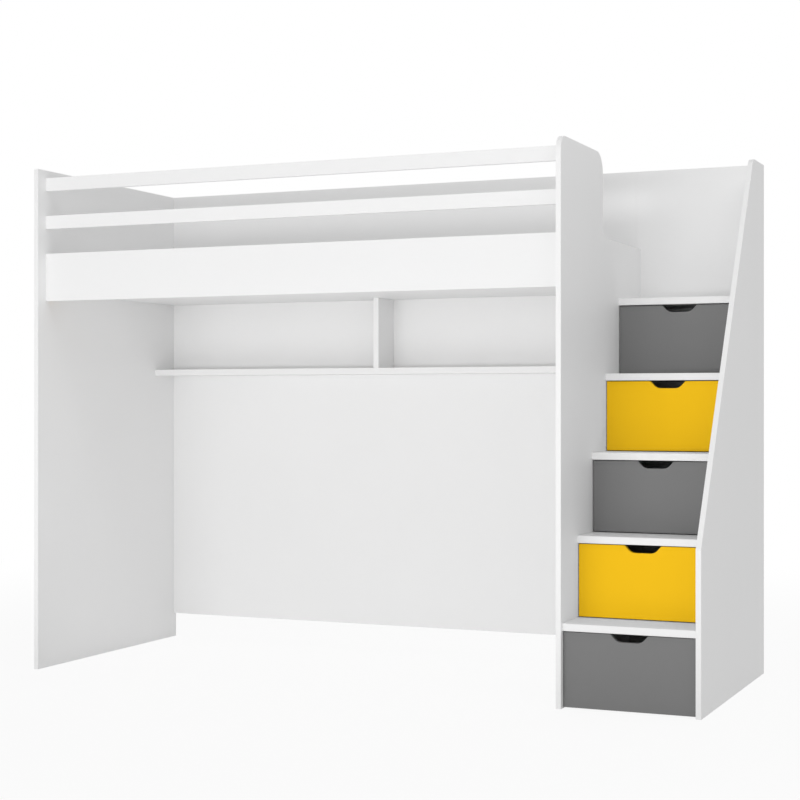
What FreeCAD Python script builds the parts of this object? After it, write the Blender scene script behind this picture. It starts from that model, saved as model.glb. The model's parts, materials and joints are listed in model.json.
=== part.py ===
import FreeCAD, Part
import math
import os

# A loft bed over an open space, with a wall shelf under it and a storage staircase at its right end.
# Millimetres. The origin is on the floor at the middle of the outer size, +X runs along the bed
# towards the stairs, -Y faces the room and +Z is up.

Vec = FreeCAD.Vector
ALONG = Vec(1, 0, 0)
BACKWARD = Vec(0, 1, 0)
UP = Vec(0, 0, 1)

# Driving dimensions of the boards
BOARD = 18.0                 # panels, rails, front board and drawer fronts
DECK_BOARD = 25.0            # treads, wall shelf and bed base
DIVIDER_BOARD = 22.0         # shelf divider
DRAWER_BOARD = 15.0          # drawer sides and backs
BOTTOM_BOARD = 5.0           # drawer bottoms

# Driving dimensions of the bed
BED_LENGTH = 2048.0          # clear between the end panels, for a mattress 2000 long
DEPTH = 1000.0               # end panels, front edge to back edge
BASE_HEIGHT = 1425.0         # underside of the bed base above the floor
BATTEN = 24.0                # square batten behind the front board
BATTEN_LIFT = 8.0            # batten above the front board's lower edge
FRONT_BOARD_HEIGHT = 180.0
RAIL_HEIGHT = 50.0
GUARD_GAP = 94.0             # clear between front board, middle rail and top rail
PANEL_RISE = 29.0            # end panels above the top rail
RAIL_SETBACK = 50.0          # rails and front board behind the panels' front edges
BACK_LIFT = 100.0            # lower edges of the back panels above the floor
SILL_RISE = 143.0            # entrance sill of the stairs above the bed base
SCREEN_DEPTH = 481.0         # tall front part of the stair inner panel
SCREEN_FRONT_RADIUS = 50.0
SCREEN_BACK_RADIUS = 70.0
SILL_RADIUS = 50.0           # hollow corner between the tall part and the sill

# Driving dimensions of the wall shelf
SHELF_CLEAR = 279.0          # clear between shelf and bed base
SHELF_DEPTH = 150.0

# Driving dimensions of the stairs
STAIR_WIDTH = 448.0          # clear between the stair panels
STEPS = 5
TOP_TREAD_DROP = 37.5        # highest tread below the underside of the bed base
GOING = 166.0
STAIR_SETBACK = 14.5         # lowest tread behind the panels' front edges
FLOOR_GAP = 4.0              # under the lowest drawer front
NOSING = 9.0                 # tread in front of the drawer below it
NOSING_RADIUS = 2.0          # tread's front edges
CHEEK_RISE = 260.0           # outer panel's slanted edge, straight up from the nosings
CHEEK_RADIUS = 45.0          # outer panel's upper front corner

# Driving dimensions of the drawers
FRONT_GAP = 3.0              # above each drawer front, and below those over a tread
FRONT_SIDE_GAP = 2.5
LONGEST_DRAWER = 700.0       # longest drawer side
DRAWER_BACK_GAP = 20.0       # least room behind a drawer
SIDE_LIFT = 20.0             # drawer sides above the front's lower edge
SIDE_DROP = 44.0             # drawer sides below the front's upper edge
GROOVE_LIFT = 12.0           # groove for the bottom above the sides' lower edges
GROOVE_DEPTH = 6.0
GROOVE_CLEARANCE = 0.2
NOTCH_MOUTH = 126.0          # finger notch, across its mouth
NOTCH_FLOOR = 80.0           # finger notch, across its floor before rounding
NOTCH_DEPTH = 25.0
NOTCH_FLOOR_RADIUS = 34.0
NOTCH_MOUTH_RADIUS = 5.0

# Driving dimensions of the drawer runners
RUNNER_GAP = 13.0            # between a stair panel and a drawer side
STEEL = 1.2                  # rolled steel of channels and rails
CHANNEL_HEIGHT = 34.0
CHANNEL_LIP = 5.0            # turned-in edges of a channel
CHANNEL_CLEARANCE = 3.0      # between a channel and the drawer side
CHANNEL_SETBACK = 2.0        # channel behind the drawer front
RAIL_CLEARANCE = 2.0         # between a rail and the channel's lips
RAIL_STANDOFF = 5.5          # rail's flanges in front of the stair panel
GLIDE_LENGTH = 40.0
RUNNING_CLEARANCE = 0.3

# Driving dimensions of the joints between boards
HOUSING = 6.0                # depth of housings, rabbets and grooves in the panels
HOUSING_CLEARANCE = 0.2
HOUSING_STOP = 20.0          # housing behind the tread's front edge, out of sight
DOWEL_RADIUS = 4.0
DOWEL_BITE = 11.0            # dowel in the panel
DOWEL_TAIL = 19.0            # dowel in the joined board
DOWEL_FIT = 0.15             # between a dowel and its bore
RAIL_DOWEL_PITCH = 24.0
BOARD_DOWEL_PITCH = 96.0
DIVIDER_DOWEL_PITCH = 96.0

# Places along the bed
total_length = BED_LENGTH + STAIR_WIDTH + 3 * BOARD
left_x = -total_length / 2
bed_left_x = left_x + BOARD
bed_right_x = bed_left_x + BED_LENGTH
bed_middle_x = (bed_left_x + bed_right_x) / 2
stair_left_x = bed_right_x + BOARD
stair_right_x = stair_left_x + STAIR_WIDTH

# Places across the bed
front_y = -DEPTH / 2
back_y = DEPTH / 2
back_panel_y = back_y - BOARD
rail_y = front_y + RAIL_SETBACK
base_front_y = rail_y + BOARD
shelf_y = back_panel_y - SHELF_DEPTH

# Heights
front_board_z = BASE_HEIGHT - BATTEN - BATTEN_LIFT
middle_rail_z = front_board_z + FRONT_BOARD_HEIGHT + GUARD_GAP
top_rail_z = middle_rail_z + RAIL_HEIGHT + GUARD_GAP
panel_height = top_rail_z + RAIL_HEIGHT + PANEL_RISE
sill_z = BASE_HEIGHT + DECK_BOARD + SILL_RISE
shelf_top_z = BASE_HEIGHT - SHELF_CLEAR
shelf_z = shelf_top_z - DECK_BOARD
seam_z = shelf_z + DECK_BOARD / 2
rise = (BASE_HEIGHT - TOP_TREAD_DROP - FLOOR_GAP) / STEPS


def block(x0, x1, y0, y1, z0, z1):
    """A board between two corners."""
    return Part.makeBox(x1 - x0, y1 - y0, z1 - z0, Vec(x0, y0, z0))


def rounded_plate(corners, radii, thickness):
    """A flat plate: its outline is rounded at each corner that has a radius, as far as its sides allow."""
    edges = []
    tangents = []
    for index, corner in enumerate(corners):
        before = corners[index - 1] - corner
        after = corners[(index + 1) % len(corners)] - corner
        half_angle = before.getAngle(after) / 2
        room = 0.5 * min(before.Length, after.Length)
        reach = min(radii[index] / math.tan(half_angle), room)
        before.normalize()
        after.normalize()
        start = corner + before * reach
        end = corner + after * reach
        tangents.append((start, end))
        if reach > 0:
            radius = reach * math.tan(half_angle)
            inward = before + after
            inward.normalize()
            middle = corner + inward * (radius / math.sin(half_angle) - radius)
            edges.append(Part.Arc(start, middle, end).toShape())
    for index, (start, end) in enumerate(tangents):
        last_end = tangents[index - 1][1]
        edges.append(Part.LineSegment(last_end, start).toShape())
    outline = Part.Wire(Part.__sortEdges__(edges))
    return Part.Face(outline).extrude(thickness)


def tread_top(step):
    """Height of a tread's upper face, counting steps from 0."""
    return FLOOR_GAP + rise * (step + 1)


def tread_front(step):
    """Place of a tread's front edge."""
    return front_y + STAIR_SETBACK + GOING * step


parts = {}


def end_panels():
    """The two ends of the bed and the outer cheek of the stairs."""
    parts["left_end_panel"] = block(left_x, bed_left_x, front_y, back_y, 0, panel_height)

    screen_y = front_y + SCREEN_DEPTH
    inner = [Vec(bed_right_x, front_y, 0), Vec(bed_right_x, front_y, panel_height),
             Vec(bed_right_x, screen_y, panel_height), Vec(bed_right_x, screen_y, sill_z),
             Vec(bed_right_x, back_y, sill_z), Vec(bed_right_x, back_y, 0)]
    inner_radii = [0, SCREEN_FRONT_RADIUS, SCREEN_BACK_RADIUS, SILL_RADIUS, 0, 0]
    parts["stair_inner_panel"] = rounded_plate(inner, inner_radii, ALONG * BOARD)

    # The slanted edge keeps to the pitch of the stairs until it meets the top or the back
    pitch = rise / GOING
    cheek_front_z = tread_top(0) + CHEEK_RISE
    slope_depth = min((panel_height - cheek_front_z) / pitch, DEPTH)
    slope_top_z = cheek_front_z + pitch * slope_depth
    outer = [Vec(stair_right_x, back_y, 0), Vec(stair_right_x, front_y, 0),
             Vec(stair_right_x, front_y, cheek_front_z),
             Vec(stair_right_x, front_y + slope_depth, slope_top_z)]
    outer_radii = [0, 0, 0, CHEEK_RADIUS]
    if slope_depth < DEPTH:
        outer.append(Vec(stair_right_x, back_y, panel_height))
        outer_radii.append(0)
    parts["stair_outer_panel"] = rounded_plate(outer, outer_radii, ALONG * BOARD)


def cut_from(name, tool):
    """Cut a housing, rabbet, groove or bore into a piece."""
    parts[name] = parts[name].cut(tool)


def back_panels():
    """Two boards behind the bed, which meet behind the shelf, and one behind the stairs.

    Their ends lie in rabbets along the back edges of the end panels.
    """
    tongue = HOUSING - HOUSING_CLEARANCE
    parts["lower_back_panel"] = block(bed_left_x - tongue, bed_right_x + tongue, back_panel_y, back_y,
                                      BACK_LIFT, seam_z)
    upper = block(bed_left_x - tongue, bed_right_x, back_panel_y, back_y, seam_z, panel_height)
    upper_tongue = block(bed_right_x, bed_right_x + tongue, back_panel_y, back_y, seam_z, sill_z)
    parts["upper_back_panel"] = upper.fuse(upper_tongue).removeSplitter()

    # Above the sill the stair back also covers the inner panel's edge, so that the two backs meet
    below_sill = block(stair_left_x - tongue, stair_right_x + tongue, back_panel_y, back_y, BACK_LIFT, sill_z)
    above_sill = block(bed_right_x, stair_right_x + tongue, back_panel_y, back_y, sill_z, panel_height)
    parts["stair_back_panel"] = below_sill.fuse(above_sill).removeSplitter()

    for panel, x, top in (("left_end_panel", bed_left_x - HOUSING, panel_height),
                          ("stair_inner_panel", bed_right_x, sill_z),
                          ("stair_inner_panel", stair_left_x - HOUSING, sill_z),
                          ("stair_outer_panel", stair_right_x, panel_height)):
        cut_from(panel, block(x, x + HOUSING, back_panel_y, back_y, BACK_LIFT, top))


def guard():
    """Front board and two rails between the end panels."""
    for name, z, height in (("front_board", front_board_z, FRONT_BOARD_HEIGHT),
                            ("middle_guard_rail", middle_rail_z, RAIL_HEIGHT),
                            ("top_guard_rail", top_rail_z, RAIL_HEIGHT)):
        parts[name] = block(bed_left_x, bed_right_x, rail_y, base_front_y, z, z + height)


def housed_deck(name, x0, x1, y0, z, left_panel=None, right_panel=None):
    """A deck board let into the end panels that it meets and into the back panels behind it."""
    tongue = HOUSING - HOUSING_CLEARANCE
    end_x0 = x0 - tongue if left_panel else x0
    end_x1 = x1 + tongue if right_panel else x1
    top = z + DECK_BOARD
    parts[name] = block(end_x0, end_x1, y0, back_panel_y + tongue, z, top)
    if left_panel:
        cut_from(left_panel, block(x0 - HOUSING, x0, y0, back_panel_y, z, top + HOUSING_CLEARANCE))
    if right_panel:
        cut_from(right_panel, block(x1, x1 + HOUSING, y0, back_panel_y, z, top + HOUSING_CLEARANCE))


def groove_backs(z, panels):
    """A groove along the back panels for the rear edge of a deck board."""
    groove = block(bed_left_x - HOUSING, bed_right_x + HOUSING, back_panel_y, back_panel_y + HOUSING,
                   z, z + DECK_BOARD + HOUSING_CLEARANCE)
    for panel in panels:
        cut_from(panel, groove)


def bed_base():
    """Two deck boards that meet over the shelf divider, on a batten behind the front board."""
    parts["base_batten"] = block(bed_left_x, bed_right_x, base_front_y, base_front_y + BATTEN,
                                 BASE_HEIGHT - BATTEN, BASE_HEIGHT)
    housed_deck("base_board_left", bed_left_x, bed_middle_x, base_front_y, BASE_HEIGHT,
                left_panel="left_end_panel")
    housed_deck("base_board_right", bed_middle_x, bed_right_x, base_front_y, BASE_HEIGHT,
                right_panel="stair_inner_panel")
    groove_backs(BASE_HEIGHT, ["upper_back_panel"])


def wall_shelf():
    """A shelf across the back, with a divider up to the bed base."""
    housed_deck("wall_shelf", bed_left_x, bed_right_x, shelf_y, shelf_z,
                left_panel="left_end_panel", right_panel="stair_inner_panel")
    groove_backs(shelf_z, ["lower_back_panel", "upper_back_panel"])
    divider_x = bed_middle_x - DIVIDER_BOARD / 2
    parts["shelf_divider"] = block(divider_x, divider_x + DIVIDER_BOARD, shelf_y, back_panel_y,
                                   shelf_top_z, BASE_HEIGHT)


def treads():
    """Each tread runs to the back, as the roof of one drawer and the floor under the next.

    Its ends lie in stopped housings, so no joint shows on the panels' front edges.
    """
    tongue = HOUSING - HOUSING_CLEARANCE
    for step in range(STEPS):
        top = tread_top(step)
        low = top - DECK_BOARD
        front = tread_front(step)
        corners = [Vec(stair_left_x, front, low), Vec(stair_left_x, front, top),
                   Vec(stair_left_x, back_panel_y, top), Vec(stair_left_x, back_panel_y, low)]
        board = rounded_plate(corners, [NOSING_RADIUS, NOSING_RADIUS, 0, 0], ALONG * STAIR_WIDTH)
        tongue_y = front + HOUSING_STOP
        tongues = block(stair_left_x - tongue, stair_right_x + tongue, tongue_y, back_panel_y, low, top)
        parts[f"tread_{step + 1}"] = board.fuse(tongues).removeSplitter()
        for panel, x in (("stair_inner_panel", stair_left_x - HOUSING), ("stair_outer_panel", stair_right_x)):
            cut_from(panel, block(x, x + HOUSING, tongue_y - HOUSING_CLEARANCE, back_panel_y,
                                  low, top + HOUSING_CLEARANCE))


def notched_front(x0, x1, y0, z0, z1):
    """A drawer front with a finger notch in the middle of its upper edge."""
    middle = (x0 + x1) / 2
    notch_z = z1 - NOTCH_DEPTH
    corners = [Vec(x0, y0, z0), Vec(x1, y0, z0), Vec(x1, y0, z1),
               Vec(middle + NOTCH_MOUTH / 2, y0, z1), Vec(middle + NOTCH_FLOOR / 2, y0, notch_z),
               Vec(middle - NOTCH_FLOOR / 2, y0, notch_z), Vec(middle - NOTCH_MOUTH / 2, y0, z1),
               Vec(x0, y0, z1)]
    radii = [0, 0, 0, NOTCH_MOUTH_RADIUS, NOTCH_FLOOR_RADIUS, NOTCH_FLOOR_RADIUS, NOTCH_MOUTH_RADIUS, 0]
    return rounded_plate(corners, radii, BACKWARD * BOARD)


def runner_section(points, panel_x, inward, z, y0, y1):
    """A rolled or moulded bar: points are (distance from the stair panel, height), carried from y0 to y1."""
    corners = [Vec(panel_x + inward * distance, y0, z + height) for distance, height in points]
    outline = Part.makePolygon(corners + corners[:1])
    return Part.Face(outline).extrude(BACKWARD * (y1 - y0))


def runner(panel_x, inward, z, y0, length):
    """Channel, channel glide, rail and rail glide on one side of a drawer."""
    depth = RUNNER_GAP - CHANNEL_CLEARANCE
    inner = depth - STEEL
    top = CHANNEL_HEIGHT - STEEL
    upper_lip = CHANNEL_HEIGHT - CHANNEL_LIP
    channel_y = y0 + CHANNEL_SETBACK
    channel_outline = [(0, 0), (depth, 0), (depth, CHANNEL_LIP), (inner, CHANNEL_LIP), (inner, STEEL),
                       (STEEL, STEEL), (STEEL, top), (inner, top), (inner, upper_lip),
                       (depth, upper_lip), (depth, CHANNEL_HEIGHT), (0, CHANNEL_HEIGHT)]
    channel = runner_section(channel_outline, panel_x, inward, z, channel_y, channel_y + length)

    rail_low = CHANNEL_LIP + RAIL_CLEARANCE
    rail_high = CHANNEL_HEIGHT - rail_low
    web = RUNNER_GAP - STEEL
    rail_outline = [(RUNNER_GAP, rail_low), (RUNNER_GAP, rail_high), (RAIL_STANDOFF, rail_high),
                    (RAIL_STANDOFF, rail_high - STEEL), (web, rail_high - STEEL),
                    (web, rail_low + STEEL), (RAIL_STANDOFF, rail_low + STEEL), (RAIL_STANDOFF, rail_low)]
    rail = runner_section(rail_outline, panel_x, inward, z, y0, y0 + length)

    # The channel's glide fills its mouth and leaves slots for the rail's flanges
    glide_outline = [(STEEL, STEEL), (inner, STEEL), (inner, top), (STEEL, top)]
    channel_glide = runner_section(glide_outline, panel_x, inward, z, channel_y, channel_y + GLIDE_LENGTH)
    for flange_z in (rail_low, rail_high - STEEL):
        slot_low = flange_z - RUNNING_CLEARANCE
        slot_high = flange_z + STEEL + RUNNING_CLEARANCE
        slot_start = RAIL_STANDOFF - RUNNING_CLEARANCE
        slot_outline = [(slot_start, slot_low), (depth, slot_low),
                        (depth, slot_high), (slot_start, slot_high)]
        slot = runner_section(slot_outline, panel_x, inward, z, channel_y, channel_y + GLIDE_LENGTH)
        channel_glide = channel_glide.cut(slot)

    # The rail's glide grips its rear end and runs inside the channel
    low = STEEL + RUNNING_CLEARANCE
    high = top - RUNNING_CLEARANCE
    near = inner - RUNNING_CLEARANCE
    shoe_outline = [(low, low), (near, low), (near, high), (low, high)]
    rail_end = y0 + length
    rail_glide = runner_section(shoe_outline, panel_x, inward, z, rail_end - GLIDE_LENGTH, rail_end).cut(rail)
    return channel, channel_glide, rail, rail_glide


def drawers():
    """Five boxes behind notched fronts, each on two runners, with its bottom in grooves."""
    channels = []
    channel_glides = []
    for step in range(STEPS):
        name = f"drawer_{step + 1}"
        front_x0 = stair_left_x + FRONT_SIDE_GAP
        front_x1 = stair_right_x - FRONT_SIDE_GAP
        face_y = tread_front(step) + NOSING
        box_y = face_y + BOARD
        front_z0 = tread_top(step - 1) + FRONT_GAP if step else FLOOR_GAP
        front_z1 = tread_top(step) - DECK_BOARD - FRONT_GAP
        box_z0 = front_z0 + SIDE_LIFT
        box_z1 = front_z1 - SIDE_DROP
        length = min(back_panel_y - DRAWER_BACK_GAP - box_y, LONGEST_DRAWER)
        box_back_y = box_y + length
        box_x0 = stair_left_x + RUNNER_GAP
        box_x1 = stair_right_x - RUNNER_GAP
        inside_x0 = box_x0 + DRAWER_BOARD
        inside_x1 = box_x1 - DRAWER_BOARD
        back_board_y = box_back_y - DRAWER_BOARD

        bottom_z0 = box_z0 + GROOVE_LIFT
        bottom_z1 = bottom_z0 + BOTTOM_BOARD
        groove = block(inside_x0 - GROOVE_DEPTH, inside_x1 + GROOVE_DEPTH,
                       box_y - GROOVE_DEPTH, back_board_y + GROOVE_DEPTH,
                       bottom_z0 - GROOVE_CLEARANCE, bottom_z1 + GROOVE_CLEARANCE)
        tongue = GROOVE_DEPTH - GROOVE_CLEARANCE

        front = notched_front(front_x0, front_x1, face_y, front_z0, front_z1)
        left = block(box_x0, inside_x0, box_y, box_back_y, box_z0, box_z1)
        right = block(inside_x1, box_x1, box_y, box_back_y, box_z0, box_z1)
        back = block(inside_x0, inside_x1, back_board_y, box_back_y, box_z0, box_z1)
        parts[f"{name}_front"] = front.cut(groove)
        parts[f"{name}_left_side"] = left.cut(groove)
        parts[f"{name}_right_side"] = right.cut(groove)
        parts[f"{name}_back"] = back.cut(groove)
        parts[f"{name}_bottom"] = block(inside_x0 - tongue, inside_x1 + tongue, box_y - tongue,
                                        back_board_y + tongue, bottom_z0, bottom_z1)

        rails = []
        rail_glides = []
        runner_z = (box_z0 + box_z1 - CHANNEL_HEIGHT) / 2
        for panel_x, inward in ((stair_left_x, 1), (stair_right_x, -1)):
            channel, channel_glide, rail, rail_glide = runner(panel_x, inward, runner_z, box_y, length)
            channels.append(channel)
            channel_glides.append(channel_glide)
            rails.append(rail)
            rail_glides.append(rail_glide)
        parts[f"{name}_rails"] = Part.makeCompound(rails)
        parts[f"{name}_rail_glides"] = Part.makeCompound(rail_glides)
        travel = length - CHANNEL_SETBACK - 2 * GLIDE_LENGTH
        print(f"{name}: side {length:.1f} long, glides meet after {travel:.1f}")
    parts["runner_channels"] = Part.makeCompound(channels)
    parts["channel_glides"] = Part.makeCompound(channel_glides)


dowels = []


def dowel_joint(panel, member, point, into):
    """A wood dowel across the joint between a panel and a board."""
    hole = DOWEL_RADIUS + DOWEL_FIT
    cut_from(panel, Part.makeCylinder(hole, DOWEL_BITE + DOWEL_FIT, point, -into))
    cut_from(member, Part.makeCylinder(hole, DOWEL_TAIL + DOWEL_FIT, point, into))
    start = point - into * DOWEL_BITE
    dowels.append(Part.makeCylinder(DOWEL_RADIUS, DOWEL_BITE + DOWEL_TAIL, start, into))


def dowel_guard_and_divider():
    """Two dowels in each end of the rails and the front board, and two under the shelf divider."""
    middle_y = rail_y + BOARD / 2
    ends = (("left_end_panel", bed_left_x, ALONG), ("stair_inner_panel", bed_right_x, -ALONG))
    boards = (("front_board", front_board_z, FRONT_BOARD_HEIGHT, BOARD_DOWEL_PITCH),
              ("middle_guard_rail", middle_rail_z, RAIL_HEIGHT, RAIL_DOWEL_PITCH),
              ("top_guard_rail", top_rail_z, RAIL_HEIGHT, RAIL_DOWEL_PITCH))
    for panel, x, into in ends:
        for board, z, height, pitch in boards:
            for offset in (-pitch / 2, pitch / 2):
                dowel_joint(panel, board, Vec(x, middle_y, z + height / 2 + offset), into)
    divider_y = shelf_y + SHELF_DEPTH / 2
    for offset in (-DIVIDER_DOWEL_PITCH / 2, DIVIDER_DOWEL_PITCH / 2):
        dowel_joint("wall_shelf", "shelf_divider", Vec(bed_middle_x, divider_y + offset, shelf_top_z), UP)


end_panels()
back_panels()
guard()
bed_base()
wall_shelf()
treads()
drawers()
dowel_guard_and_divider()
parts["wood_dowels"] = Part.makeCompound(dowels)

os.makedirs("parts", exist_ok=True)
for name, shape in parts.items():
    shape.exportStep(f"parts/{name}.step")
print(f"{len(parts)} pieces, {total_length:.0f} x {DEPTH:.0f} x {panel_height:.0f}")
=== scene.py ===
# %% [markdown]
# # A loft bed with storage stairs
# The bed is a piece of flat-pack furniture: white melamine-faced boards, grey and yellow drawer fronts,
# steel drawer runners. The solids come in ready made and in place, so this lesson only dresses them:
# camera, light, a finish for every material, eased edges, and the small fittings that hold it together.
# We load first, and read each part's box from its bare solid, which the dressing leaves as it is.
# Dressing must not make the bed bigger.

# %% Load the solids
import json
import math
import bmesh
import bpy
from mathutils import Matrix, Vector

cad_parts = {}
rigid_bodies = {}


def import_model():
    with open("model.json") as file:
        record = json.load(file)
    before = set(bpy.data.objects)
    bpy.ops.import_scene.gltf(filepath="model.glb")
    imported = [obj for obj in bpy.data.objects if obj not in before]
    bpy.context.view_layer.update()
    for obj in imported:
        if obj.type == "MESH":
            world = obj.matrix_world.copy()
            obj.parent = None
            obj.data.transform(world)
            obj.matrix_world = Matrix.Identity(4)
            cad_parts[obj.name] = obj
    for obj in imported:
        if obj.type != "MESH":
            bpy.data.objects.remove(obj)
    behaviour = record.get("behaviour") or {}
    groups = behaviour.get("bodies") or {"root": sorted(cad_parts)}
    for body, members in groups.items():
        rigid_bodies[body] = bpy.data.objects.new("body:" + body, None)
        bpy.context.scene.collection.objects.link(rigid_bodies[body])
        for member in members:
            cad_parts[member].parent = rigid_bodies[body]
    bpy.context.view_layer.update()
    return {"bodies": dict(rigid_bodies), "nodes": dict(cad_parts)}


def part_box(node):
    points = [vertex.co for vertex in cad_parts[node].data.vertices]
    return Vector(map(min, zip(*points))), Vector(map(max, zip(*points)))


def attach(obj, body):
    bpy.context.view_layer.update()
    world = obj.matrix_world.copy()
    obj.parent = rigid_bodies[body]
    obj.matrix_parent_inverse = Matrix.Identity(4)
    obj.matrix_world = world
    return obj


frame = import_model()
nodes = frame["nodes"]
scene = bpy.context.scene

# %% [markdown]
# ## The view
# The picture was taken from the right, a little over one metre above the floor, with a level camera: all
# upright edges stay upright. A level camera with a small upward shift keeps them so. Tilting the camera
# would be easier to aim, but then the end panels would lean towards each other.

# %% Camera
CAMERA_PLACE = Vector((2.5138, -5.7474, 1.0088))
CAMERA_TURN = math.radians(23.49)
LEVEL = math.radians(90)
LENS_MM = 75.27
SENSOR_MM = 36.0
UPWARD_SHIFT = 0.0027

camera_data = bpy.data.cameras.new("photo_view")
camera_data.sensor_width = SENSOR_MM
camera_data.lens = LENS_MM
camera_data.shift_y = UPWARD_SHIFT
camera = bpy.data.objects.new("photo_view", camera_data)
camera.location = CAMERA_PLACE
camera.rotation_euler = (LEVEL, 0, CAMERA_TURN)
scene.collection.objects.link(camera)
scene.camera = camera
print(f"camera {CAMERA_PLACE.length:.2f} m from the origin, lens {LENS_MM} mm")

# %% [markdown]
# ## Writing shader maths as Python
# A node tree drawn by hand is hard to read in a script. One small class wraps an output socket, so that
# `0.4 + 0.1 * noise` adds the two Math nodes by itself. Plain numbers stay in Python. Colours go through
# a Mix node, because a Math node would turn them grey. Every other node comes from `node`, which takes
# the node's type, its settings and its sockets.

# %% The socket wrapper
class Signal:
    """An output socket of a node tree, with arithmetic."""

    def __init__(self, tree, socket=None):
        self.tree = tree
        self.socket = socket

    def node(self, kind, settings=None, sockets=None, output=0):
        """Add a node: settings first, then a value or a link for each named or numbered socket."""
        made = self.tree.nodes.new("ShaderNode" + kind)
        for name, value in (settings or {}).items():
            setattr(made, name, value)
        for name, value in (sockets or {}).items():
            if isinstance(value, Signal):
                self.tree.links.new(value.socket, made.inputs[name])
            else:
                made.inputs[name].default_value = value
        return Signal(self.tree, made.outputs[output] if made.outputs else None)

    def math(self, operation, first, second=0.0):
        return self.node("Math", {"operation": operation}, {0: first, 1: second})

    def tint(self, low, high):
        """A colour from low to high, where this signal goes from 0 to 1."""
        ends = [end if isinstance(end, Signal) else (*end, 1) for end in (low, high)]
        return self.node("Mix", {"data_type": "RGBA"}, {0: self, 6: ends[0], 7: ends[1]}, output=2)

    def __add__(self, other):
        return self.math("ADD", self, other)

    __radd__ = __add__

    def __sub__(self, other):
        return self.math("SUBTRACT", self, other)

    def __rsub__(self, other):
        return self.math("SUBTRACT", other, self)

    def __mul__(self, other):
        return self.math("MULTIPLY", self, other)

    __rmul__ = __mul__

    def __truediv__(self, other):
        return self.math("DIVIDE", self, other)

    def __rtruediv__(self, other):
        return self.math("DIVIDE", other, self)


print("sockets can be added, subtracted, multiplied and divided")

# %% [markdown]
# ## The studio
# The bed stands in plain soft light: an even sky of white walls all round, and softboxes in front, so
# that faces towards the room are the brightest and sides and tops are softly darker. The backdrop has
# to look white without lighting the bed more, so the world asks which kind of ray is looking: the
# camera, mirrors and glass see white, and everything else sees the dimmer studio walls.

# %% World
SKY_STRENGTH = 0.554
BACKDROP_STRENGTH = 1.0
PLAIN_WHITE = (1.0, 1.0, 1.0, 1.0)
SEEN_DIRECTLY = ("Is Camera Ray", "Is Glossy Ray", "Is Transmission Ray")


def ray_is(start, kinds):
    """1 for a ray of one of these kinds, and 0 for any other."""
    found = start.node("LightPath", output=kinds[0])
    for kind in kinds[1:]:
        found = start.math("MAXIMUM", found, start.node("LightPath", output=kind))
    return found


world = bpy.data.worlds.new("studio")
scene.world = world
world.use_nodes = True
world.node_tree.nodes.clear()
sky = Signal(world.node_tree)
walls = sky.node("Background", None, {"Color": PLAIN_WHITE, "Strength": SKY_STRENGTH})
backdrop = sky.node("Background", None, {"Color": PLAIN_WHITE, "Strength": BACKDROP_STRENGTH})
surroundings = sky.node("MixShader", None, {0: ray_is(sky, SEEN_DIRECTLY), 1: walls, 2: backdrop})
sky.node("OutputWorld", None, {"Surface": surroundings})
scene.view_settings.view_transform = "Standard"
print(f"studio walls at {SKY_STRENGTH}, backdrop white")

# %% [markdown]
# ## The floor
# The soft shadow on the floor keeps the bed from floating. A floor that takes all its brightness from
# the lamps would come out grey in front of the white backdrop, and its far edge would show. So the camera
# sees plain white with a share of the lit floor near the bed, and that share fades out further away. The
# light that falls on the bed still comes off the lit floor. The white glows only to be seen, so the
# renderer is told not to search it for light as it would a lamp, which would leave faint patches in the
# sheen of the boards.

# %% Floor
FLOOR_HALF = 14.0
FLOOR_TONE = (0.92, 0.92, 0.92, 1.0)
NEAR_WHITE = 0.90            # share of plain white near the bed, the rest is the lit floor
SHADOW_REACH = (1.6, 5.0)    # distance from the middle over which the lit floor fades to white


def new_finish(name):
    """An empty material, as (material, start of its node tree)."""
    material = bpy.data.materials.new(name)
    material.use_nodes = True
    material.node_tree.nodes.clear()
    return material, Signal(material.node_tree)


def make_object(name, builder):
    """A new object from a mesh that is still being built."""
    mesh = bpy.data.meshes.new(name)
    builder.to_mesh(mesh)
    builder.free()
    made = bpy.data.objects.new(name, mesh)
    scene.collection.objects.link(made)
    return made


floor_builder = bmesh.new()
bmesh.ops.create_grid(floor_builder, x_segments=1, y_segments=1, size=FLOOR_HALF)
floor = make_object("studio_floor", floor_builder)
floor_finish, start = new_finish("studio_floor")
matt = start.node("BsdfDiffuse", None, {"Color": FLOOR_TONE})
glow = start.node("Emission", None, {"Color": PLAIN_WHITE, "Strength": BACKDROP_STRENGTH})
place = start.node("TexCoord", output="Object")
distance = start.node("VectorMath", {"operation": "LENGTH"}, {0: place}, output="Value")
near, far = SHADOW_REACH
fade = start.node("MapRange", {"interpolation_type": "SMOOTHSTEP"}, {
    "Value": distance,
    "From Min": near,
    "From Max": far,
    "To Min": NEAR_WHITE,
    "To Max": 1.0,
})
mixed = start.node("MixShader", None, {0: fade * ray_is(start, SEEN_DIRECTLY), 1: matt, 2: glow})
start.node("OutputMaterial", None, {"Surface": mixed})
floor_finish.cycles.emission_sampling = "NONE"
floor.data.materials.append(floor_finish)
print(f"floor {2 * FLOOR_HALF} m square")

# %% [markdown]
# ## Lamps
# Two softboxes in front brighten the faces that look into the room: one at the camera's height, a little
# to the right, and a flat one near the floor that reaches deep under the bed. A small one looks down
# into the stairs, which stand between two tall panels. One behind keeps the wall side white too. The
# floor near a real set is never as bright as its walls, because the bed shades it, so photographers lay
# white boards down to throw light back up: a large one in front, and a faint one under the bed. A flat
# area lamp that faces up does the same. The lamps light the bed, but aren't seen in it.

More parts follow.
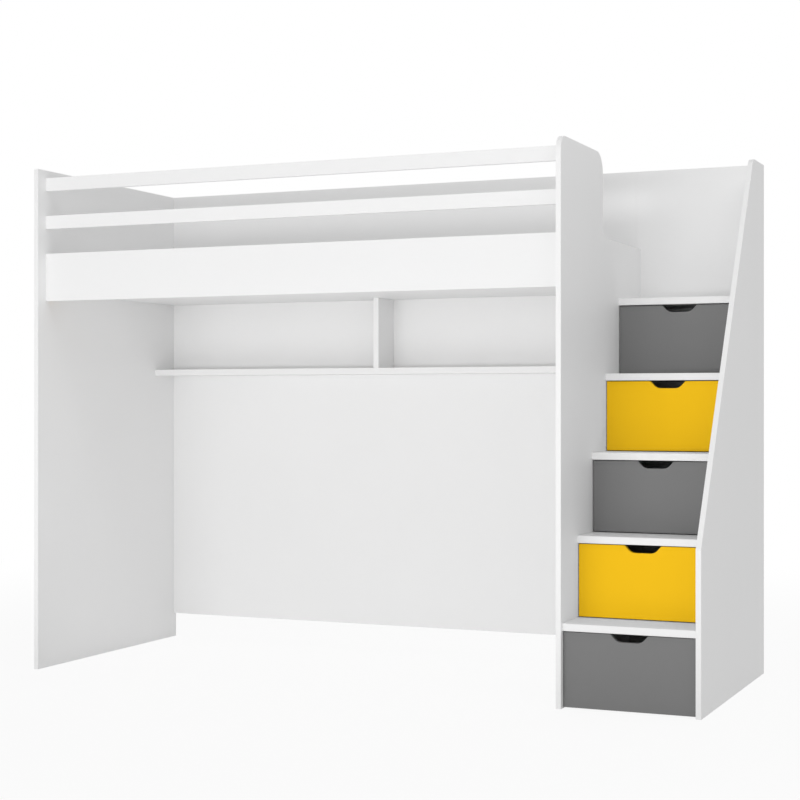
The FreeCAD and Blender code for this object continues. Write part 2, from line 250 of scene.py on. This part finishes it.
# %% Lamps
# name, place, aim, size, watts
LAMPS = (
    ("front_softbox", Vector((1.2, -8.5, 1.0)), Vector((0.0, 0.0, 0.95)), (4.0, 2.0), 77.0),
    ("low_softbox", Vector((-1.0, -8.0, 0.35)), Vector((0.0, 0.0, 0.5)), (4.0, 0.6), 86.0),
    ("stair_softbox", Vector((2.6, -1.6, 3.6)), Vector((1.03, 0.1, 0.9)), (1.5, 1.0), 11.6),
    ("back_softbox", Vector((0.0, 8.5, 1.4)), Vector((0.0, 0.0, 1.0)), (4.0, 2.0), 150.0),
    ("front_reflector", Vector((-0.1, -2.2, 0.004)), Vector((-0.1, -2.2, 3.0)), (4.0, 2.4), 17.8),
    ("under_bed_reflector", Vector((-0.23, 0.0, 0.004)), Vector((-0.23, 0.0, 3.0)), (1.9, 0.85), 0.87),
)

for name, place, aim, size, watts in LAMPS:
    lamp_data = bpy.data.lights.new(name, "AREA")
    lamp_data.shape = "RECTANGLE"
    lamp_data.size, lamp_data.size_y = size
    lamp_data.energy = watts
    lamp = bpy.data.objects.new(name, lamp_data)
    lamp.location = place
    lamp.rotation_euler = (aim - place).to_track_quat("-Z", "Y").to_euler()
    lamp.visible_camera = False
    lamp.visible_glossy = False
    scene.collection.objects.link(lamp)
print(f"{len(LAMPS)} lamps, {sum(lamp[-1] for lamp in LAMPS):.0f} W in all")

# %% [markdown]
# ## Eased edges
# A machined board never has a knife edge: its edging strip is scraped to a small round, and that round
# catches a thin line of light. The solids have sharp edges, and their faces arrive in triangles that
# don't share corners. So modifiers go on each: Weld joins the corners, Decimate merges the triangles of
# a flat face back into one, and Bevel rounds what is left. The meshes themselves stay as they are.

# %% Ease the edges
EASE = {
    "white_board": 0.0008,
    "grey_front": 0.0010,
    "yellow_front": 0.0010,
    "drawer_board": 0.0006,
    "drawer_bottom": 0.0003,
    "pine": 0.0015,
    "beech": 0.0005,
    "zinc_steel": 0.0002,
    "nylon": 0.0004,
}
EASE_STEPS = 2
WELD_REACH = 0.00001
FLAT_ANGLE = math.radians(1)
SHARP_ANGLE = math.radians(30)


def ease_edges(node, width):
    """Round the sharp edges of a solid by this width."""
    weld = node.modifiers.new("join corners", "WELD")
    weld.merge_threshold = WELD_REACH
    flat = node.modifiers.new("merge flat faces", "DECIMATE")
    flat.decimate_type = "DISSOLVE"
    flat.angle_limit = FLAT_ANGLE
    ease = node.modifiers.new("ease edges", "BEVEL")
    ease.width = width
    ease.segments = EASE_STEPS
    ease.limit_method = "ANGLE"
    ease.angle_limit = SHARP_ANGLE
    ease.use_clamp_overlap = False
    ease.harden_normals = True
    shade = node.modifiers.new("even shading", "WEIGHTED_NORMAL")
    shade.keep_sharp = True


slots = {name: node.data.materials[0].name for name, node in nodes.items()}
for name, node in nodes.items():
    ease_edges(node, EASE[slots[name]])
print(f"eased the edges of {len(nodes)} solids")

# %% [markdown]
# ## What every finish needs
# No real surface is one even colour. Most finishes here are a tone that drifts with soft noise, a
# roughness that drifts with it, and a fine relief. The noise is placed in metres on the object itself, so
# it keeps its size on every board, and three different scales stretch it into fibres or lines. Image
# textures could do this too, but noise needs no unwrapping and has no seams.

# %% Noise, shades and relief
MIDDLE = 0.5                 # noise, tints and random numbers run from 0 to 1
PLAIN_DETAIL = 1.0
SOFT_DETAIL = 2.0
FINE_DETAIL = 3.0


def drift(start, scale, detail=SOFT_DETAIL):
    """Soft noise about 0, from roughly -0.5 to 0.5. A scale for each axis stretches it."""
    place = start.node("TexCoord", output="Object")
    if isinstance(scale, tuple):
        place = start.node("VectorMath", {"operation": "MULTIPLY"}, {0: place, 1: scale})
        scale = 1.0
    noise = start.node("TexNoise", None, {"Vector": place, "Scale": scale, "Detail": detail})
    return noise - MIDDLE


def shades(tone, spread):
    """A darker and a lighter colour, that share apart from the tone."""
    return [tuple(max(0.0, value * (1 + side * spread)) for value in tone) for side in (-1, 1)]


def relief(start, height, strength, depth):
    """A bump for the normal: its strength from 0 to 1, its depth in metres."""
    return start.node("Bump", None, {"Strength": strength, "Distance": depth, "Height": height})


def close_finish(start, sockets):
    """Put the main shader and the output on a finish."""
    shader = start.node("BsdfPrincipled", None, sockets)
    start.node("OutputMaterial", None, {"Surface": shader})


print("a tone of 0.5 with a spread of 0.02 goes from", *shades((0.5,), 0.02))

# %% [markdown]
# ## Melamine-faced board
# Nearly all of the bed is chipboard with a printed paper pressed on in resin. The press plate leaves a
# fine pearl in the face, half a millimetre across. The narrow sides are closed with a plastic edging
# strip, which is smoother and shinier. A flat white would look like paper, so the colour drifts a little
# over each sheet and from board to board. The finish has to know which way a board lies to tell faces
# from edging, so it is made once for each direction. The white boards beside the yellow fronts stay white
# in the picture, though a yellow face would tint them, so a ray that comes off another board sees the
# grey of the same brightness.

# %% Melamine
PEARL_SCALE = 1800.0         # bumps per metre, about half a millimetre each
PEARL_DEPTH = 0.00003
SPECK_SCALE = 650.0
CLOUD_SCALE = 3.5
TONE_SPREAD = 0.02
CLOUD_SHARE = 0.5            # how much of the spread comes from clouds, specks and the sheet as a whole
SPECK_SHARE = 0.35
SHEET_SHARE = 0.5
ROUGH_DRIFT = 0.10
EDGING_SHINE = 0.08          # by how much the edging is smoother than the face
FACE_LIMIT = 0.5             # a surface that looks this much along the thin axis is a face
BOUNCED = ("Is Diffuse Ray", "Is Glossy Ray")
LUMINANCE = (0.2126, 0.7152, 0.0722)


def melamine(name, axis, tone, roughness, sheen, pearl):
    """Resin-faced board that is thin along one axis."""
    material, start = new_finish(name)
    normal = start.node("TexCoord", output="Normal")
    facing = start.math("ABSOLUTE", start.node("SeparateXYZ", None, {0: normal}, output=axis))
    face = start.math("GREATER_THAN", facing, FACE_LIMIT)
    cloud = drift(start, CLOUD_SCALE)
    speck = drift(start, SPECK_SCALE)
    sheet = start.node("ObjectInfo", output="Random") - MIDDLE
    tone_drift = MIDDLE + CLOUD_SHARE * cloud + SPECK_SHARE * speck * face + SHEET_SHARE * sheet
    colour = tone_drift.tint(*shades(tone, TONE_SPREAD))
    grey = sum(share * value for share, value in zip(LUMINANCE, tone))
    close_finish(start, {
        "Base Color": ray_is(start, BOUNCED).tint(colour, (grey, grey, grey)),
        "Roughness": roughness + ROUGH_DRIFT * cloud - EDGING_SHINE * (1 - face),
        "Specular IOR Level": sheen,
        "Normal": relief(start, drift(start, PEARL_SCALE, PLAIN_DETAIL) * face, pearl, PEARL_DEPTH),
    })
    return material


print(f"melamine with {PEARL_SCALE:.0f} pearls in a metre")

# %% Melamine on the boards
AXES = ("X", "Y", "Z")
# tone, roughness, sheen, pearl
BOARD_LOOKS = {
    "white_board": ((0.93, 0.93, 0.93), 0.50, 0.32, 0.35),
    "grey_front": ((0.212, 0.212, 0.212), 0.48, 0.25, 0.30),
    "yellow_front": ((0.985, 0.572, 0.004), 0.48, 0.20, 0.30),
    "drawer_board": ((0.86, 0.86, 0.85), 0.55, 0.30, 0.45),
}


def thin_axis(name):
    """The direction in which a board is thinnest."""
    low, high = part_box(name)
    size = high - low
    return AXES[min(range(3), key=lambda index: size[index])]


board_finishes = {}
for name, node in nodes.items():
    slot = slots[name]
    if slot in BOARD_LOOKS:
        key = f"{slot}_{thin_axis(name)}"
        if key not in board_finishes:
            board_finishes[key] = melamine(key, thin_axis(name), *BOARD_LOOKS[slot])
        node.data.materials[0] = board_finishes[key]
print("melamine:", ", ".join(sorted(board_finishes)))

# %% [markdown]
# ## Drawer bottoms
# A drawer bottom is thin hardboard with a pale lacquer. Its face is flat but not quite even: short
# fibres show through as flecks. A noise that is stretched along the board gives flecks; a plain noise
# would give round spots.

# %% Lacquered hardboard
BOTTOM_TONE = (0.70, 0.69, 0.67)
BOTTOM_SPREAD = 0.08
BOTTOM_ROUGHNESS = 0.46
BOTTOM_SHEEN = 0.3
FLECK_STRETCH = (900.0, 160.0, 900.0)
FLECK_SHARE = 0.9
FLECK_ROUGHENING = 0.15
FLECK_RELIEF = (0.3, 0.00004)    # strength and depth
STAIN_SCALE = 5.0
STAIN_SHARE = 0.5


def hardboard():
    material, start = new_finish("lacquered_hardboard")
    flecks = drift(start, FLECK_STRETCH, FINE_DETAIL)
    stain = drift(start, STAIN_SCALE)
    tone_drift = MIDDLE + FLECK_SHARE * flecks + STAIN_SHARE * stain
    close_finish(start, {
        "Base Color": tone_drift.tint(*shades(BOTTOM_TONE, BOTTOM_SPREAD)),
        "Roughness": BOTTOM_ROUGHNESS + FLECK_ROUGHENING * flecks,
        "Specular IOR Level": BOTTOM_SHEEN,
        "Normal": relief(start, flecks, *FLECK_RELIEF),
    })
    return material


solid_finishes = {"drawer_bottom": hardboard()}
print("drawer bottoms: hardboard with flecks")

# %% [markdown]
# ## Pine and beech
# The batten under the bed base is planed pine, and the dowels are beech. Wood is built from the inside:
# a board is cut from a trunk, so its rings are circles round a line that runs along the grain. We take
# the distance from that line, bend it with noise, and let it rise and fall once a ring. The same rule
# then draws long stripes on the sides and arcs on the ends, which a flat stripe pattern can't do.

# %% Wood
PINE_LIGHT = (0.68, 0.47, 0.26)
PINE_DARK = (0.50, 0.30, 0.13)
PINE_RING = 0.0032           # width of a year
BEECH_LIGHT = (0.60, 0.40, 0.24)
BEECH_DARK = (0.46, 0.28, 0.15)
BEECH_RING = 0.0012
WOOD_ROUGHNESS = 0.58
WOOD_SHEEN = 0.35
BEND_STRETCH = (1.2, 20.0, 20.0)
BEND_RINGS = 2.0             # by how many rings the noise bends the grain
PORE_STRETCH = (60.0, 2500.0, 2500.0)
PORE_SHARE = 0.5
PORE_ROUGHENING = 0.12
GRAIN_RELIEF = (0.4, 0.00006)    # strength and depth
HEART_BEHIND = 0.020         # the trunk's middle from the batten's corner
HEART_BELOW = 0.045


def timber(name, light, dark, ring, heart):
    """Wood with its grain along X: ring is the width of a year, heart is a point on the trunk's middle."""
    material, start = new_finish(name)
    place = start.node("TexCoord", output="Object")
    across = [start.node("SeparateXYZ", None, {0: place}, output=axis) for axis in ("Y", "Z")]
    spans = [line - middle for line, middle in zip(across, heart)]
    distance = start.math("SQRT", spans[0] * spans[0] + spans[1] * spans[1])
    year = start.math("FRACT", distance / ring + BEND_RINGS * drift(start, BEND_STRETCH))
    pores = drift(start, PORE_STRETCH)
    late_wood = year * year * year
    grain = late_wood + PORE_SHARE * pores
    close_finish(start, {
        "Base Color": grain.tint(light, dark),
        "Roughness": WOOD_ROUGHNESS + PORE_ROUGHENING * pores,
        "Specular IOR Level": WOOD_SHEEN,
        "Normal": relief(start, grain, *GRAIN_RELIEF),
    })
    return material


batten_low, batten_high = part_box("base_batten")
trunk_heart = (batten_low.y - HEART_BEHIND, batten_low.z - HEART_BELOW)
solid_finishes["pine"] = timber("planed_pine", PINE_LIGHT, PINE_DARK, PINE_RING, trunk_heart)
solid_finishes["beech"] = timber("turned_beech", BEECH_LIGHT, BEECH_DARK, BEECH_RING, trunk_heart)
print("timber: pine batten, beech dowels")

# %% [markdown]
# ## Zinc-plated steel and nylon
# The runners are rolled from thin strip and zinc plated. Rolling leaves hair lines along the length, and
# the plating clouds into bluish and yellowish patches. Both show in the roughness more than in the
# colour. The glides are moulded nylon: milky, a little uneven, with no lines.

# %% Steel and nylon
CLOUD_ROUGHENING = 0.2
ZINC_COOL = (0.58, 0.61, 0.65)
ZINC_WARM = (0.67, 0.65, 0.59)
ZINC_ROUGHNESS = 0.34
ZINC_CLOUD_SCALE = 45.0
ZINC_CLOUD_SHARE = 1.6
ROLLED_STRETCH = (1500.0, 8.0, 1500.0)
ROLLED_ROUGHENING = 0.25
ROLLED_RELIEF = (0.25, 0.00003)  # strength and depth
NYLON_TONE = (0.80, 0.80, 0.77)
NYLON_SPREAD = 0.05
NYLON_ROUGHNESS = 0.42
NYLON_SHEEN = 0.45
NYLON_CLOUD_SCALE = 120.0
NYLON_RELIEF = (0.2, 0.00004)    # strength and depth


def zinc():
    material, start = new_finish("zinc_plated_steel")
    lines = drift(start, ROLLED_STRETCH)
    cloud = drift(start, ZINC_CLOUD_SCALE, FINE_DETAIL)
    close_finish(start, {
        "Base Color": (MIDDLE + ZINC_CLOUD_SHARE * cloud).tint(ZINC_COOL, ZINC_WARM),
        "Roughness": ZINC_ROUGHNESS + ROLLED_ROUGHENING * lines + CLOUD_ROUGHENING * cloud,
        "Metallic": 1.0,
        "Normal": relief(start, lines, *ROLLED_RELIEF),
    })
    return material


def nylon():
    material, start = new_finish("moulded_nylon")
    cloud = drift(start, NYLON_CLOUD_SCALE, FINE_DETAIL)
    close_finish(start, {
        "Base Color": (MIDDLE + cloud).tint(*shades(NYLON_TONE, NYLON_SPREAD)),
        "Roughness": NYLON_ROUGHNESS + CLOUD_ROUGHENING * cloud,
        "Specular IOR Level": NYLON_SHEEN,
        "Normal": relief(start, cloud, *NYLON_RELIEF),
    })
    return material


solid_finishes["zinc_steel"] = zinc()
solid_finishes["nylon"] = nylon()
for name, node in nodes.items():
    if slots[name] in solid_finishes:
        node.data.materials[0] = solid_finishes[slots[name]]
print("fittings: zinc plated steel, moulded nylon")

# %% [markdown]
# ## Turned fittings
# Screw heads, cam locks and cover caps are all round, so one function turns them: each ring has a
# height and a radius, and neighbouring rings are joined by faces. The driver's cross is a ring too, with
# a radius that changes round the circle. With arms as wide as 15 degrees at their tips, 24 points a
# ring fall exactly on the corners of the cross, so no cutting is needed.

# %% Rings
POINTS = 24
ARM_ANGLE = math.radians(15)
QUARTER = math.pi / 2
ROUNDING = 1e-6


def round_ring(radius):
    return lambda angle: radius


def cross_ring(reach):
    """Radius of a cross whose arms are this long, at an angle."""
    def radius(angle):
        turn = abs((angle + QUARTER / 2) % QUARTER - QUARTER / 2)
        if turn <= ARM_ANGLE + ROUNDING:
            return reach / math.cos(turn)
        return reach * math.tan(ARM_ANGLE) / math.sin(turn)
    return radius


def turn_head(builder, rings, foot, outward):
    """Add one turned head to a mesh: rings are (height, radius rule), on a foot point, facing outward."""
    upright = Vector((0, 0, 1)).rotation_difference(outward).to_matrix().to_4x4()
    seat = Matrix.Translation(foot) @ upright
    angles = [index * 2 * math.pi / POINTS for index in range(POINTS)]
    loops = []
    for height, rule in rings:
        corners = [Vector((rule(a) * math.cos(a), rule(a) * math.sin(a), height)) for a in angles]
        loops.append([builder.verts.new(seat @ corner) for corner in corners])
    for lower, upper in zip(loops, loops[1:]):
        for index in range(POINTS):
            after = (index + 1) % POINTS
            builder.faces.new((lower[index], lower[after], upper[after], upper[index]))
    builder.faces.new(list(reversed(loops[0])))
    builder.faces.new(loops[-1])


print(f"{POINTS} points a ring, {360 / POINTS:.0f} degrees apart")

# %% Heads
# height and radius of each ring, as shares of the head's own
PAN_PROFILE = ((0.0, 1.0), (0.45, 1.0), (0.82, 0.86), (1.0, 0.66))
CAP_PROFILE = ((0.0, 1.0), (0.5, 1.0), (0.85, 0.93), (1.0, 0.75), (1.05, 0.35))
CROSS_REACH = 0.55           # arms of the cross, as a share of the head's radius
CROSS_FLOOR = 0.25           # floor of the recess, as a share of the head's height
CROSS_TAPER = 0.7            # the cross at its floor, as a share of the cross at its mouth


def profile_rings(profile, radius, height):
    return [(up * height, round_ring(out * radius)) for up, out in profile]


def pan_head(radius, height):
    """Pan head with a cross recess."""
    reach = CROSS_REACH * radius
    recess = [(height, cross_ring(reach)), (CROSS_FLOOR * height, cross_ring(CROSS_TAPER * reach))]
    return profile_rings(PAN_PROFILE, radius, height) + recess


def cover_cap(radius, height):
    """Low domed cap."""
    return profile_rings(CAP_PROFILE, radius, height)


def fitting(name, body, slot, rings, places):
    """One piece of several equal heads: places are (foot, outward) pairs."""
    builder = bmesh.new()
    for foot, outward in places:
        turn_head(builder, rings, foot, outward)
    piece = make_object(name, builder)
    piece.data.materials.append(solid_finishes[slot])
    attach(piece, body)


print(f"a pan head has {len(pan_head(1, 1))} rings, a cover cap {len(cover_cap(1, 1))}")

# %% [markdown]
# ## Fittings on the drawers
# Each rail is held by three screws inside its channel shape. The sides meet the front with cam locks,
# which show as bright discs inside the box, and are screwed to the back through their rear ends. They
# could be one mesh for the whole bed, but all of it has to ride with its own drawer.

# %% Drawer fittings
LEFT = Vector((-1, 0, 0))
RIGHT = Vector((1, 0, 0))
DRAWERS = sum(1 for body in frame["bodies"] if body.startswith("drawer_"))
RAIL_STEEL = 0.0012
RAIL_SCREW = pan_head(0.0036, 0.0016)
CAM_LOCK = pan_head(0.0075, 0.0007)
BACK_SCREW = pan_head(0.0048, 0.0009)
FIRST_SCREW = 0.045          # rail screw behind the drawer front
LAST_SCREW = 0.075           # rail screw in front of the rail's rear end
CAM_INSET = 0.024            # cam lock behind the drawer front
PAIR_SPREAD = 0.055          # cam locks and back screws above and below the middle

for number in range(1, DRAWERS + 1):
    body = f"drawer_{number}"
    rail_low, rail_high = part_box(f"{body}_rails")
    back_low, back_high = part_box(f"{body}_back")
    back_y = (back_low.y + back_high.y) / 2
    screw_rows = (rail_low.y + FIRST_SCREW, (rail_low.y + rail_high.y) / 2, rail_high.y - LAST_SCREW)
    rail_screws, cam_locks, back_screws = [], [], []
    for side, outward in (("left", LEFT), ("right", RIGHT)):
        low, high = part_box(f"{body}_{side}_side")
        outer_x, inner_x = (low.x, high.x) if side == "left" else (high.x, low.x)
        middle_z = (low.z + high.z) / 2
        web_x = outer_x + outward.x * RAIL_STEEL
        rail_screws += [(Vector((web_x, y, middle_z)), outward) for y in screw_rows]
        for z in (middle_z - PAIR_SPREAD, middle_z + PAIR_SPREAD):
            cam_locks.append((Vector((inner_x, low.y + CAM_INSET, z)), -outward))
            back_screws.append((Vector((outer_x, back_y, z)), outward))
    fitting(f"{body}_rail_screws", body, "zinc_steel", RAIL_SCREW, rail_screws)
    fitting(f"{body}_cam_locks", body, "zinc_steel", CAM_LOCK, cam_locks)
    fitting(f"{body}_back_screws", body, "zinc_steel", BACK_SCREW, back_screws)
print(f"{DRAWERS} drawers, each with rail screws, cam locks and back screws")

# %% [markdown]
# ## Fittings on the frame
# The guard rails and the front board are pulled tight to the end panels by cam locks on the sleeper's
# side, under white cover caps. The back panels have theirs on the wall side, bare. The batten is screwed
# up into the bed base from below. Their places are worked out from the boxes of the boards, so they
# follow when a board changes its size.

# %% Cover caps on the guard
BACKWARD = Vector((0, 1, 0))
CAM_REACH = 0.034            # cam lock from the end of its board
COVER_CAP = cover_cap(0.0085, 0.0009)
BOARD_CAP_SPREAD = 0.020     # caps above and below the middle of the front board

guard_caps = []
for name, spread in (("top_guard_rail", 0.0), ("middle_guard_rail", 0.0), ("front_board", BOARD_CAP_SPREAD)):
    low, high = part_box(name)
    middle_z = (low.z + high.z) / 2
    for x in (low.x + CAM_REACH, high.x - CAM_REACH):
        for z in sorted({middle_z - spread, middle_z + spread}):
            guard_caps.append((Vector((x, high.y, z)), BACKWARD))
fitting("guard_cover_caps", "frame", "nylon", COVER_CAP, guard_caps)
print(f"{len(guard_caps)} cover caps")

# %% Cam locks and screws of backs and batten
DOWN = Vector((0, 0, -1))
BACK_CAM_PITCH = 0.36
BATTEN_SCREW_PITCH = 0.33
BATTEN_SCREW = pan_head(0.0042, 0.0008)


def spaced(low, high, inset, pitch):
    """Even places between two ends, at most a pitch apart."""
    count = math.ceil((high - low - 2 * inset) / pitch)
    return [low + inset + (high - low - 2 * inset) * index / count for index in range(count + 1)]


back_cams = []
for name in ("lower_back_panel", "upper_back_panel", "stair_back_panel"):
    low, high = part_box(name)
    for x in (low.x + CAM_REACH, high.x - CAM_REACH):
        for z in spaced(low.z, high.z, 2 * CAM_REACH, BACK_CAM_PITCH):
            back_cams.append((Vector((x, high.y, z)), BACKWARD))
fitting("back_cam_locks", "frame", "zinc_steel", CAM_LOCK, back_cams)

batten_middle_y = (batten_low.y + batten_high.y) / 2
batten_rows = spaced(batten_low.x, batten_high.x, 2 * CAM_REACH, BATTEN_SCREW_PITCH)
batten_screws = [(Vector((x, batten_middle_y, batten_low.z)), DOWN) for x in batten_rows]
fitting("batten_screws", "frame", "zinc_steel", BATTEN_SCREW, batten_screws)
print(f"{len(back_cams)} back cam locks, {len(batten_screws)} batten screws")
